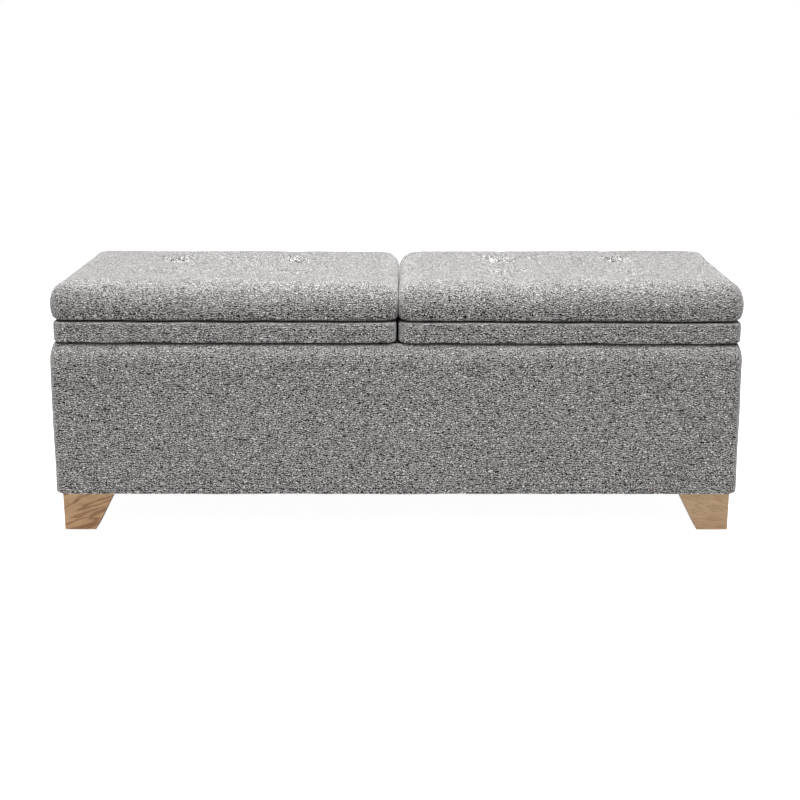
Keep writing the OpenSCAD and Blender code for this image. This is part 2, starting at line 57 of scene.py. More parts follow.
def aim_camera():
    """A camera at the bench's front, a little above it and looking slightly down."""
    yaw, pitch, roll = 0.0164, 0.2276, 0.0056
    forward = Vector((math.sin(yaw) * math.cos(pitch), math.cos(yaw) * math.cos(pitch), -math.sin(pitch)))
    level = Vector((math.cos(yaw), -math.sin(yaw), 0))
    upright = level.cross(forward)
    right = math.cos(roll) * level + math.sin(roll) * upright
    up = math.cos(roll) * upright - math.sin(roll) * level
    data = bpy.data.cameras.new("camera")
    data.lens = 68.6
    data.shift_x = -0.0386
    data.shift_y = -0.0342
    camera = bpy.data.objects.new("camera", data)
    turn = Matrix((right, up, -forward)).transposed().to_4x4()
    camera.matrix_world = Matrix.Translation((0.0169, -2.952, 0.942)) @ turn
    bpy.context.scene.collection.objects.link(camera)
    bpy.context.scene.camera = camera


def area_light(name, place, target, size, power, colour=(1, 1, 1)):
    data = bpy.data.lights.new(name, "AREA")
    data.shape = "RECTANGLE"
    data.size, data.size_y = size
    data.energy = power
    data.color = colour
    light = bpy.data.objects.new(name, data)
    light.location = place
    light.rotation_euler = (Vector(target) - Vector(place)).to_track_quat("-Z", "Y").to_euler()
    light.visible_camera = False
    bpy.context.scene.collection.objects.link(light)


def light_studio():
    """A long soft light above the bench's front edge, a fainter one above its back, and a white backdrop."""
    scene = bpy.context.scene
    scene.view_settings.view_transform = "Standard"
    world = bpy.data.worlds.new("studio")
    world.use_nodes = True
    nodes, links = world.node_tree.nodes, world.node_tree.links
    ambient = nodes["Background"]
    ambient.inputs["Strength"].default_value = 0.2
    backdrop = nodes.new("ShaderNodeBackground")
    backdrop.inputs["Strength"].default_value = 1.0
    for shade in (ambient, backdrop):
        shade.inputs["Color"].default_value = (1, 1, 1, 1)
    mix = nodes.new("ShaderNodeMixShader")
    links.new(nodes.new("ShaderNodeLightPath").outputs["Is Camera Ray"], mix.inputs[0])
    links.new(ambient.outputs[0], mix.inputs[1])
    links.new(backdrop.outputs[0], mix.inputs[2])
    links.new(mix.outputs[0], nodes["World Output"].inputs["Surface"])
    scene.world = world
    area_light("over_front", (0, -0.50, 2.1), (0, -0.30, 0.3), (2.8, 0.7), 63)
    area_light("over_back", (0, 0.35, 2.1), (0, 0.1, 0.3), (2.8, 1.0), 27)


def lay_floor():
    """Pale round floor, lit a little from below like a light table, so that it meets the white backdrop."""
    bm = bmesh.new()
    bmesh.ops.create_circle(bm, cap_ends=True, segments=96, radius=5)
    floor = object_from(bm, "floor")
    shader = Shader("pale_floor")
    tree = shader.tree
    paint = tree.noise(tree.place(), 3.0, detail=2)
    shader.colour(tree.ramp(paint, [(0.3, (0.78, 0.78, 0.78)), (0.7, (0.82, 0.82, 0.82))]))
    shader.set("Roughness", 0.9)
    shader.set("Emission Color", (1, 1, 1, 1))
    seen = tree.nodes.new("ShaderNodeLightPath").outputs["Is Camera Ray"]
    tree.link(tree.math("MULTIPLY", seen, 0.95), shader.bsdf, "Emission Strength")
    floor.data.materials.append(shader.material)


# ---------------------------------------------------------------- material building

class Tree:
    """Short calls for the shader nodes that the materials share."""

    def __init__(self, nodes, links):
        self.nodes, self.links = nodes, links

    def link(self, output, node, socket):
        self.links.new(output, node.inputs[socket])

    def place(self):
        """Position on the piece at rest, in metres."""
        return self.nodes.new("ShaderNodeTexCoord").outputs["Object"]

    def stretch(self, place, scale, turn=(0, 0, 0), shift=(0, 0, 0)):
        node = self.nodes.new("ShaderNodeMapping")
        self.links.new(place, node.inputs["Vector"])
        node.inputs["Scale"].default_value = scale
        node.inputs["Rotation"].default_value = turn
        node.inputs["Location"].default_value = shift
        return node.outputs["Vector"]

    def noise(self, place, scale=1.0, detail=3.0, roughness=0.5, distortion=0.0):
        node = self.nodes.new("ShaderNodeTexNoise")
        self.links.new(place, node.inputs["Vector"])
        node.inputs["Scale"].default_value = scale
        node.inputs["Detail"].default_value = detail
        node.inputs["Roughness"].default_value = roughness
        node.inputs["Distortion"].default_value = distortion
        return node.outputs["Fac"]

    def ramp(self, value, stops):
        node = self.nodes.new("ShaderNodeValToRGB")
        self.links.new(value, node.inputs["Fac"])
        colours = node.color_ramp.elements
        while len(colours) < len(stops):
            colours.new(0.5)
        for element, (position, colour) in zip(colours, stops):
            element.position = position
            element.color = (*colour, 1)
        return node.outputs["Color"]

    def math(self, operation, a, b):
        node = self.nodes.new("ShaderNodeMath")
        node.operation = operation
        for socket, value in zip(node.inputs, (a, b)):
            if isinstance(value, (int, float)):
                socket.default_value = value
            else:
                self.links.new(value, socket)
        return node.outputs["Value"]

    def fit(self, value, low, high, to_low=0.0, to_high=1.0):
        node = self.nodes.new("ShaderNodeMapRange")
        self.links.new(value, node.inputs["Value"])
        for name, number in zip(("From Min", "From Max", "To Min", "To Max"), (low, high, to_low, to_high)):
            node.inputs[name].default_value = number
        return node.outputs["Result"]

    def mix(self, amount, a, b, blend="MIX"):
        """Mixes two colours. amount, a and b are sockets or plain values."""
        node = self.nodes.new("ShaderNodeMix")
        node.data_type = "RGBA"
        node.blend_type = blend
        for index, value in ((0, amount), (6, a), (7, b)):
            socket = node.inputs[index]
            if isinstance(value, (int, float)):
                socket.default_value = value
            elif isinstance(value, tuple):
                socket.default_value = (*value, 1)
            else:
                self.links.new(value, socket)
        return node.outputs[2]

    def bump(self, height, distance, strength=1.0):
        node = self.nodes.new("ShaderNodeBump")
        self.links.new(height, node.inputs["Height"])
        node.inputs["Distance"].default_value = distance
        node.inputs["Strength"].default_value = strength
        return node.outputs["Normal"]

    def split(self, vector):
        node = self.nodes.new("ShaderNodeSeparateXYZ")
        self.links.new(vector, node.inputs[0])
        return node.outputs

    def join(self, x, y):
        node = self.nodes.new("ShaderNodeCombineXYZ")
        self.links.new(x, node.inputs[0])
        self.links.new(y, node.inputs[1])
        return node.outputs[0]

    def on_end(self):
        """1 on faces that look along X, 0 on the others. A lid turns about X, so no pose changes it."""
        normal = self.nodes.new("ShaderNodeNewGeometry").outputs["Normal"]
        return self.math("GREATER_THAN", self.math("ABSOLUTE", self.split(normal)[0], 0), 0.7)

    def choose(self, choice, a, b):
        """a where choice is 0 and b where it is 1."""
        return self.math("ADD", self.math("MULTIPLY", self.math("SUBTRACT", 1, choice), a),
                         self.math("MULTIPLY", choice, b))

    def arch(self, value):
        """Half a sine over each whole step of value, from 0 to 1 and back."""
        return self.math("SINE", self.math("MULTIPLY", self.math("FRACT", value, 0), math.pi), 0)


class Shader:
    def __init__(self, name):
        self.material = bpy.data.materials.new(name)
        self.material.use_nodes = True
        nodes = self.material.node_tree.nodes
        self.bsdf = nodes["Principled BSDF"]
        self.tree = Tree(nodes, self.material.node_tree.links)

    def set(self, socket, value):
        self.bsdf.inputs[socket].default_value = value

    def colour(self, output):
        self.tree.link(output, self.bsdf, "Base Color")

    def roughness(self, output):
        self.tree.link(output, self.bsdf, "Roughness")

    def normal(self, output):
        self.tree.link(output, self.bsdf, "Normal")


# ---------------------------------------------------------------- materials

def slub_cloth():
    """Grey melange weave: short dark and light floats in wavy level rows, every other row the lighter one."""
    shader = Shader("slub_cloth")
    tree = shader.tree
    row_pitch, float_len = 1.7 * MM, 1.3 * MM
    place = tree.place()
    x, y, z = tree.split(place)
    end = tree.on_end()
    along = tree.choose(end, x, y)
    folded = tree.math("SUBTRACT", z, tree.math("ABSOLUTE", y, 0))
    across = tree.choose(end, folded, z)
    wave = tree.noise(place, 160, detail=2)
    rows = tree.math("ADD", tree.math("DIVIDE", across, row_pitch), tree.math("MULTIPLY", wave, 6.0))
    row = tree.math("FLOOR", rows, 0)
    floats = tree.math("DIVIDE", along, float_len)
    cell = tree.math("FLOOR", floats, 0)
    odd_row = tree.math("FLOORED_MODULO", row, 2)
    over_under = tree.math("FLOORED_MODULO", tree.math("ADD", row, cell), 2)
    shade = tree.nodes.new("ShaderNodeTexWhiteNoise")
    shade.noise_dimensions = "2D"
    tree.link(tree.join(cell, row), shade, "Vector")
    slub_place = tree.join(tree.math("MULTIPLY", along, 75), tree.math("MULTIPLY", row, 5.3))
    slubs = tree.noise(slub_place, 1.0, detail=1.0)
    tone = tree.math("MULTIPLY", shade.outputs["Value"], 0.44)
    for part, weight in ((odd_row, 0.40), (over_under, 0.10), (slubs, 0.04)):
        tone = tree.math("ADD", tone, tree.math("MULTIPLY", part, weight))
    shader.colour(tree.ramp(tone, [
        (0.24, (0.0086, 0.0078, 0.0078)),
        (0.40, (0.043, 0.0395, 0.0395)),
        (0.53, (0.172, 0.159, 0.158)),
        (0.65, (0.47, 0.45, 0.44)),
        (0.79, (0.82, 0.80, 0.78)),
    ]))
    yarn = tree.math("MULTIPLY", tree.arch(rows), tree.arch(floats))
    fibres = tree.noise(place, 1800, detail=2)
    uneven = tree.math("MULTIPLY", shade.outputs["Value"], 0.3)
    height = tree.math("ADD", tree.math("MULTIPLY", yarn, 0.7), uneven)
    height = tree.math("ADD", height, tree.math("MULTIPLY", fibres, 0.25))
    shader.normal(tree.bump(height, 0.6 * MM, 0.8))
    shader.set("Roughness", 0.92)
    shader.set("Specular IOR Level", 0.2)
    shader.set("Sheen Weight", 0.6)
    shader.set("Sheen Roughness", 0.45)
    return shader.material


def lining_cloth():
    """Thin black spun cloth with a faint point-bonded pattern."""
    shader = Shader("lining_cloth")
    tree = shader.tree
    place = tree.place()
    points = tree.nodes.new("ShaderNodeTexVoronoi")
    tree.link(tree.stretch(place, (380, 380, 380)), points, "Vector")
    points.inputs["Randomness"].default_value = 0.35
    dots = points.outputs["Distance"]
    cloud = tree.noise(place, 26, detail=4)
    base = tree.ramp(cloud, [(0.3, (0.018, 0.018, 0.020)), (0.7, (0.034, 0.034, 0.037))])
    shader.colour(tree.mix(tree.fit(dots, 0.1, 0.5, 0.0, 0.35), base, (0.06, 0.06, 0.065)))
    shader.normal(tree.bump(tree.math("ADD", dots, tree.math("MULTIPLY", cloud, 2.0)), 0.5 * MM, 0.6))
    shader.set("Roughness", 0.85)
    shader.set("Sheen Weight", 0.15)
    return shader.material


def wood(name, pale, dark, seed=0.0, tilt=0.0, along="X", rings=70.0, gloss=0.5, figure=0.55):
    """Plain-sawn wood: drawn-out grain with growth lines, fine pores and a slight colour drift."""
    shader = Shader(name)
    tree = shader.tree
    stretched = {"X": (1, 9, 9), "Y": (9, 1, 9), "Z": (9, 9, 1)}[along]
    place = tree.stretch(tree.place(), (1, 1, 1), turn=(0, tilt, 0), shift=(seed, seed * 0.7, seed * 1.3))
    board = tree.stretch(place, stretched)
    growth = tree.noise(board, 5.0, detail=3, distortion=0.4)
    lines = tree.math("SINE", tree.math("MULTIPLY", growth, rings), 0)
    lines = tree.fit(lines, -1, 1)
    pores = tree.noise(tree.stretch(place, tuple(90 * s for s in stretched)), 1.0, detail=2, roughness=0.7)
    drift = tree.noise(board, 2.0, detail=1)
    middle = tuple((p + d) / 2 for p, d in zip(pale, dark))
    base = tree.ramp(drift, [(0.35, middle), (0.65, pale)])
    lined = tree.mix(tree.math("MULTIPLY", tree.math("POWER", lines, 3.0), figure), base, dark)
    pored = tree.mix(tree.fit(pores, 0.56, 0.72, 0.0, 0.55), lined, tuple(d * 0.6 for d in dark))
    shader.colour(pored)
    shader.roughness(tree.fit(pores, 0.3, 0.7, gloss - 0.06, gloss + 0.16))
    shader.normal(tree.bump(tree.math("ADD", pores, tree.math("MULTIPLY", lines, 0.25)), 0.25 * MM, 0.4))
    return shader.material


def plated_steel(name="plated_steel", tint=(0.55, 0.56, 0.58)):
    """Zinc-plated steel with fine brushing and dull clouding."""
    shader = Shader(name)
    tree = shader.tree
    place = tree.place()
    brushing = tree.noise(tree.stretch(place, (120, 1400, 1400)), 1.0, detail=2)
    clouds = tree.noise(place, 90, detail=4)
    dull = tuple(0.72 * t for t in tint)
    shader.colour(tree.ramp(clouds, [(0.3, dull), (0.7, tint)]))
    shader.roughness(tree.fit(tree.math("ADD", brushing, clouds), 0.6, 1.4, 0.28, 0.5))
    shader.normal(tree.bump(brushing, 0.06 * MM, 0.5))
    shader.set("Metallic", 1.0)
    return shader.material


def coated(name, shade, rough, grain=900.0, depth=0.1):
    """Paint, rubber or moulded plastic with a fine even grain."""
    shader = Shader(name)
    tree = shader.tree
    place = tree.place()
    fine = tree.noise(place, grain, detail=2)
    scuffs = tree.noise(place, 60, detail=4)
    light = tuple(1.35 * c + 0.006 for c in shade)
    shader.colour(tree.ramp(scuffs, [(0.35, shade), (0.75, light)]))
    shader.roughness(tree.fit(scuffs, 0.3, 0.7, rough - 0.08, rough + 0.08))
    shader.normal(tree.bump(fine, depth * MM, 0.5))
    return shader.material


def open_foam(name, shade):
    shader = Shader(name)
    tree = shader.tree
    cells = tree.nodes.new("ShaderNodeTexVoronoi")
    tree.link(tree.stretch(tree.place(), (900, 900, 900)), cells, "Vector")
    dark = tuple(0.7 * c for c in shade)
    shader.colour(tree.ramp(cells.outputs["Distance"], [(0.1, dark), (0.5, shade)]))
    shader.normal(tree.bump(cells.outputs["Distance"], 0.6 * MM, 0.7))
    shader.set("Roughness", 0.95)
    return shader.material


# ---------------------------------------------------------------- mesh building

def object_from(bm, name):
    bmesh.ops.recalc_face_normals(bm, faces=bm.faces)
    mesh = bpy.data.meshes.new(name)
    bm.to_mesh(mesh)
    bm.free()
    mesh.shade_smooth()
    obj = bpy.data.objects.new(name, mesh)
    bpy.context.scene.collection.objects.link(obj)
    return obj


def bake(obj):
    """Puts what the modifiers show into the mesh, and takes them off."""
    depsgraph = bpy.context.evaluated_depsgraph_get()
    depsgraph.update()
    shown = bpy.data.meshes.new_from_object(obj.evaluated_get(depsgraph))
    obj.modifiers.clear()
    obj.data = shown
    shown.shade_smooth()


def subdivide(obj):
    finer = obj.modifiers.new("finer", "SUBSURF")
    finer.levels = finer.render_levels = 1
    bake(obj)


def finish_piece(obj, body, slot, *nodes):
    obj.data.materials.clear()
    obj.data.materials.append(MATERIALS[slot])
    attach(obj, body)
    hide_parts(*nodes)


def arc(inset, z, radius, start, end, steps):
    """Section points on an arc about (inset, z); 0 degrees looks outwards and 90 up."""
    angles = [math.radians(start + (end - start) * k / steps) for k in range(steps + 1)]
    return [(inset - radius * math.cos(a), z + radius * math.sin(a)) for a in angles]


def line(a, b, step):
    """Section points from a to b without the ends."""
    count = max(1, round(math.dist(a, b) / step))
    return [(a[0] + (b[0] - a[0]) * k / count, a[1] + (b[1] - a[1]) * k / count) for k in range(1, count)]


def outline(half_x, half_y, radius, across, along, corner_steps=8):
    """A rounded rectangle, anticlockwise from its +X side, with the same number of points at every size."""
    arcs = []
    for turn, (sx, sy) in enumerate(((1, 1), (-1, 1), (-1, -1), (1, -1))):
        centre = Vector((sx * (half_x - radius), sy * (half_y - radius)))
        angles = [math.radians(90 * (turn + k / corner_steps)) for k in range(corner_steps + 1)]
        arcs.append([centre + radius * Vector((math.cos(a), math.sin(a))) for a in angles])
    points = []
    for turn, corner in enumerate(arcs):
        points += corner
        ahead = arcs[(turn + 1) % 4][0]
        count = across if turn % 2 == 0 else along
        points += [corner[-1].lerp(ahead, k / count) for k in range(1, count)]
    return points


def loft(name, low, high, radius, section, closed=False, caps=(0, -1), step=12 * MM):
    """Runs a section of (inset, height) points round a rounded rectangle. A closed section makes a ring."""
    middle, half = (low + high) / 2, (high - low) / 2
    across = round(2 * (half.x - radius) / step)
    along = round(2 * (half.y - radius) / step)
    bm = bmesh.new()
    rings = []
    for inset, z in section:
        points = outline(half.x - inset, half.y - inset, max(radius - inset, MM), across, along)
        rings.append([bm.verts.new((middle.x + p.x, middle.y + p.y, z)) for p in points])
    for a, b in zip(rings, rings[1:] + (rings[:1] if closed else [])):
        for k in range(len(a)):
            bm.faces.new((a[k - 1], a[k], b[k], b[k - 1]))
    if not closed:
        for end in caps:
            bm.faces.new(rings[end])
    return object_from(bm, name)


def wander(place, size, seed):
    """Smooth random offset from about -0.6 to 0.6 that varies over the given length."""
    return noise.noise(Vector(place) / size + Vector((seed, seed * 1.7, seed * 0.3)))


def soften_outside(obj, low, high, depth, amount, size, seed):
    """Lets the outer faces wander along their normals; depth is how far in from the box they reach."""
    middle, half = (low + high) / 2, (high - low) / 2
    for vertex in obj.data.vertices:
        reach = vertex.co - middle
        if abs(reach.x) > half.x - depth or abs(reach.y) > half.y - depth:
            vertex.co += vertex.normal * amount * wander(vertex.co, size, seed)


def seam_wobble(place):
    """How a hand-sewn seam strays up and down; the pieces above and below it share this."""
    return 0.9 * MM * wander((place.x, place.y, 0), 0.045, 5.0)


# ---------------------------------------------------------------- cushions

BUTTON_R = 10.5 * MM
BUTTON_LIFT = 3 * MM        # the pulled foam stands a little higher round a button than the bare well
OVERHANG = {"left": -2.0 * MM, "right": 0.8 * MM}     # where a cushion ends, from its CAD cover's end
FLARE = {"left": 0.0, "right": 7 * MM}                # how much wider it is at the back
BELLY = {"left": 4 * MM, "right": 0.0}                # how much its end bows out between front and back
FULLNESS = {"left": 1 * MM, "right": 5 * MM}          # how much higher it is at its outer end
MEET = 1.6 * MM             # the cushions press against each other here, a little right of the middle
TOUCH = 0.3 * MM            # how far each stops from there
SLIT = 3 * MM               # open groove between a cushion's edge and its band


def tufts(side):
    """Where the four buttons of a cushion sit, in plan."""
    low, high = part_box(side + "_seat_buttons")
    middle, half = (low + high) / 2, (high - low) / 2
    return [Vector((middle.x + sx * (half.x - BUTTON_R), middle.y + sy * (half.y - BUTTON_R)))
            for sx in (-1, 1) for sy in (-1, 1)]


def cushion_section(bottom, top):
    """A full side: it turns in to the seam below and rolls over softly to the top."""
    low_r, fullest = 8 * MM, 28 * MM
    tuck, roll, power = 5 * MM, 32 * MM, 2.2
    seam_inset = tuck * ((fullest - low_r) / fullest) ** 2
    section = [(seam_inset + 24 * MM, bottom - SLIT + 0.8 * MM)]
    section += arc(seam_inset + low_r, bottom + low_r, low_r, -90, 0, 4)
    for k in range(1, 5):
        height = low_r + (fullest - low_r) * k / 5
        section.append((tuck * ((fullest - height) / fullest) ** 2, bottom + height))
    for k in range(13):
        angle = math.radians(90 * k / 12)
        section.append((roll * (1 - math.cos(angle) ** (2 / power)),
                        bottom + fullest + (top - bottom - fullest) * math.sin(angle) ** (2 / power)))
    return section


def swell(obj, held, pressure, share, cap, frames=20):
    """Cloth simulation with pressure inside. held(place) is true where the cloth can't move.

    The foam keeps its own shape, so only a share of what the cloth wants is taken, up to the cap."""
    group = obj.vertex_groups.new(name="held")
    group.add([v.index for v in obj.data.vertices if held(v.co)], 1.0, "REPLACE")
    start = [v.co.copy() for v in obj.data.vertices]
    cloth = obj.modifiers.new("swell", "CLOTH")
    settings = cloth.settings
    settings.quality = 6
    settings.mass = 0.3
    settings.tension_stiffness = 20
    settings.compression_stiffness = 12
    settings.shear_stiffness = 8
    settings.bending_stiffness = 2.0
    settings.use_pressure = True
    settings.uniform_pressure_force = pressure
    settings.vertex_group_mass = "held"
    settings.effector_weights.gravity = 0
    cloth.point_cache.frame_start = 1
    cloth.point_cache.frame_end = frames
    scene = bpy.context.scene
    for number in range(1, frames + 1):
        scene.frame_set(number)
    shown = obj.evaluated_get(bpy.context.evaluated_depsgraph_get()).data
    moved = [v.co.copy() for v in shown.vertices]
    obj.modifiers.clear()
    scene.frame_set(1)
    for vertex, a, b in zip(obj.data.vertices, start, moved):
        step = share * (b - a)
        vertex.co = a + step * min(1.0, cap / max(step.length, 1e-9))


def cushion_blank(side, bottom, top):
    """Even mesh of a cushion before its tufts, as wide as it would be without the other cushion."""
    low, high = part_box(side + "_seat_cover")
    outwards = SIGN[side]
    spare, corner_r, pressed = 3 * MM, 30 * MM, 3 * MM
    end = outwards * (max(-low.x, high.x) + OVERHANG[side])
    across = sorted((MEET - outwards * pressed, end))
    plan_low = Vector((across[0], low.y + spare, low.z))
    plan_high = Vector((across[1], high.y - spare, high.z))
    cushion = loft(side + "_cushion", plan_low, plan_high, corner_r, cushion_section(bottom, top))
    remesh = cushion.modifiers.new("even", "REMESH")
    remesh.mode = "VOXEL"
    remesh.voxel_size = 5.5 * MM
    bake(cushion)
    return cushion


def nearest_tuft(place, places):
    """Distance to the nearest tuft in plan, and the way there."""
    return min(((place.xy - tuft).length, place.xy - tuft) for tuft in places)


def make_cushion(side):
    """Seat cushion: cloth over foam, a little crowned and pulled down at four tufts."""
    low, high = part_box(side + "_seat_cover")
    middle, half = (low + high) / 2, (high - low) / 2
    outwards = SIGN[side]
    bottom, top = low.z + SLIT, high.z - 3.7 * MM
    crown, tuft_r = 3 * MM, 22 * MM
    pinned_r = 0.8 * BUTTON_R   # a button holds the cloth down this far out
    cushion = cushion_blank(side, bottom, top)
    places = tufts(side)
    sink = top + 0.57 * crown - (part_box(side + "_seat_buttons")[0].z + BUTTON_LIFT)
    for vertex in cushion.data.vertices:
        place = vertex.co
        if place.z > middle.z:
            share = (place.z - middle.z) / (top - middle.z)
            u, v = (place.x - middle.x) / half.x, (place.y - middle.y) / half.y
            place.z += share * crown * (1 - u * u) * (1 - v * v)
            place.z += share * FULLNESS[side] * (1 + outwards * u) / 2
            away, ray = nearest_tuft(place, places)
            folds = 1 + 0.14 * math.cos(5 * math.atan2(ray.y, ray.x) + 40 * middle.x)
            place.z -= sink * math.exp(-(max(0.0, away - pinned_r) / (tuft_r * folds)) ** 2)

    def held(place):
        under_button = place.z > middle.z and nearest_tuft(place, places)[0] < pinned_r
        return under_button or place.z < bottom + 1.5 * MM

    swell(cushion, held, pressure=4.0, share=0.45, cap=3 * MM)
    seed = 11.0 + 6 * outwards
    for vertex in cushion.data.vertices:
        place = vertex.co
        free = min(1.0, max(0.0, 5 * (place.z - bottom) / (top - bottom)))
        place.z += free * 1.4 * MM * wander(place, 0.11, seed) + (1 - free) * seam_wobble(place)
        place.y += free * 1.0 * MM * wander(place, 0.06, seed + 3)
        out = max(0.0, outwards * (place.x - middle.x) / half.x)
        back = (place.y - low.y) / (2 * half.y)
        place.x += outwards * out * (FLARE[side] * back + 4 * BELLY[side] * back * (1 - back))
        place.x = MEET + outwards * max(outwards * (place.x - MEET), TOUCH)
    subdivide(cushion)
    finish_piece(cushion, side + "_lid", "grey_cloth", side + "_seat_cover", side + "_seat_foam")


def make_buttons(side):
    """Cloth-covered buttons: a low dome with a gathered rim, sunk in the tufts."""
    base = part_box(side + "_seat_buttons")[0].z + BUTTON_LIFT
    # radius and height in millimetres, from the top of the dome to the middle of its underside
    profile = [(0, 2.9), (3, 2.8), (6, 2.45), (8.2, 1.9), (9.8, 1.2),
               (10.4, 0.6), (10, 0.1), (8.5, -0.4), (0, -0.6)]
    turns, gathers = 48, 12
    bm = bmesh.new()
    for tuft in tufts(side):
        rings = []
        for radius, height in profile:
            corners = turns if radius else 1
            pull = 0.02 if radius > 8 else 0.0
            ring = []
            for k in range(corners):
                angle = 2 * math.pi * k / turns
                reach = radius * MM * (1 + pull * math.cos(gathers * angle))
                ring.append(bm.verts.new((tuft.x + reach * math.cos(angle), tuft.y + reach * math.sin(angle),
                                          base + height * MM)))
            rings.append(ring)
        for a, b in zip(rings, rings[1:]):
            for k in range(turns):
                corners = [a[k % len(a)], a[(k + 1) % len(a)], b[(k + 1) % len(b)], b[k % len(b)]]
                bm.faces.new(list(dict.fromkeys(corners)))
    buttons = object_from(bm, side + "_buttons")
    subdivide(buttons)
    finish_piece(buttons, side + "_lid", "grey_cloth", side + "_seat_buttons")


# ---------------------------------------------------------------- padded band and box

BAND_OVERHANG = {"left": -1.6 * MM, "right": 2.2 * MM}    # where a band ends, from its CAD cover's end
BAND_GAP = 1.7 * MM         # from the middle of the bench to a band


def make_band(side):
    """Padded band of a lid. Its cloth turns in over the deck and under the rails."""
    low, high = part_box(side + "_lid_band_cover")
    rail_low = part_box(side + "_lid_rails")[0]
    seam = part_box(side + "_lid_deck")[1].z
    ends = (SIGN[side] * BAND_GAP, SIGN[side] * (max(-low.x, high.x) + BAND_OVERHANG[side]))
    plan_low, plan_high = Vector((min(ends), low.y, low.z)), Vector((max(ends), high.y, high.z))
    thick = (rail_low.x - low.x) - 0.3 * MM
    bottom = low.z + 0.7 * MM
    low_r, top_r, lip = 4.5 * MM, 4 * MM, 22 * MM
    over_deck = seam + 0.5 * MM
    section = [(lip, bottom)] + line((lip, bottom), (low_r, bottom), 5 * MM)
    section += arc(low_r, bottom + low_r, low_r, -90, 0, 6)
    section += line((0, bottom + low_r), (0, over_deck - top_r), 5 * MM)
    section += arc(top_r, over_deck - top_r, top_r, 0, 90, 4)
    section += line((top_r, over_deck), (lip, over_deck), 5 * MM)
    section += [(lip, over_deck), (lip, seam + 0.1 * MM), (thick, seam + 0.1 * MM)]
    section += [(thick, bottom + CLOTH), (lip, bottom + CLOTH)]
    band = loft(side + "_band", plan_low, plan_high, 20 * MM, section, closed=True, step=9 * MM)
    soften_outside(band, plan_low, plan_high, 6 * MM, 0.9 * MM, 0.045, 37.0 + 6 * SIGN[side])
    middle_z = (bottom + seam) / 2
    for vertex in band.data.vertices:
        place = vertex.co
        if place.z > seam - 6 * MM:
            place.z += seam_wobble(place)
        elif place.z < middle_z:
            place.z += 0.5 * MM * wander((place.x, place.y, 0), 0.05, 19.0)
    subdivide(band)
    finish_piece(band, side + "_lid", "grey_cloth", side + "_lid_band_cover", side + "_lid_band_padding")


def make_box_cover():
    """Cloth over the padded box. Its faces lean in softly to the rim, and it turns in under the bottom."""
    low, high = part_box("box_cover")
    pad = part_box("front_panel")[0].y - low.y - 0.2 * MM
    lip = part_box("left_bay_lining")[0].x - low.x
    low_r, turn_in = 6 * MM, 20 * MM
    lean, lean_from = 8.3 * MM, 32 * MM
    rim = high.z - 0.3 * MM
    edge = rim - 0.4 * MM

    def leaning(z):
        return lean * max(0.0, (z - (edge - lean_from)) / lean_from) ** 2

    section = [(turn_in, low.z)] + line((turn_in, low.z), (low_r, low.z), 5 * MM)
    section += arc(low_r, low.z + low_r, low_r, -90, 0, 7)
    section += line((0, low.z + low_r), (0, edge - lean_from), 8 * MM)
    steps = 12
    for k in range(steps + 1):
        z = edge - lean_from * (1 - k / steps)
        section.append((leaning(z), z))
    section += line((lean, edge), (lean + MM, rim), 0.5 * MM)
    section += line((lean + MM, rim), (lip, rim), 4 * MM)
    section += [(lip, rim), (lip, rim - CLOTH), (pad, rim - CLOTH)]
    section += [(pad, low.z + CLOTH), (turn_in, low.z + CLOTH)]
    cover = loft("box_upholstery", low, high, 20 * MM, section, closed=True)
    belly = 4.5 * MM            # the padding of the long sides stands out most below the rolled rim
    middle, half = (low + high) / 2, (high - low) / 2
    for vertex in cover.data.vertices:
        place = vertex.co
        below = (edge - place.z) / lean_from
        if abs(place.y - middle.y) > half.y - pad + 0.1 * MM:
            rise = max(0.0, min(1.0, below, (place.z - low.z) / (80 * MM)))
            place.y += math.copysign(belly * (1 - (1 - rise) ** 2), place.y - middle.y)
    soften_outside(cover, low, high, 7 * MM, 1.1 * MM, 0.09, 57.0)
    for vertex in cover.data.vertices:
        vertex.co.z = min(vertex.co.z, rim)
    subdivide(cover)
    finish_piece(cover, "carcass", "grey_cloth", "box_cover", "front_padding", "back_padding",
                 "left_end_padding", "right_end_padding")


# ---------------------------------------------------------------- linings

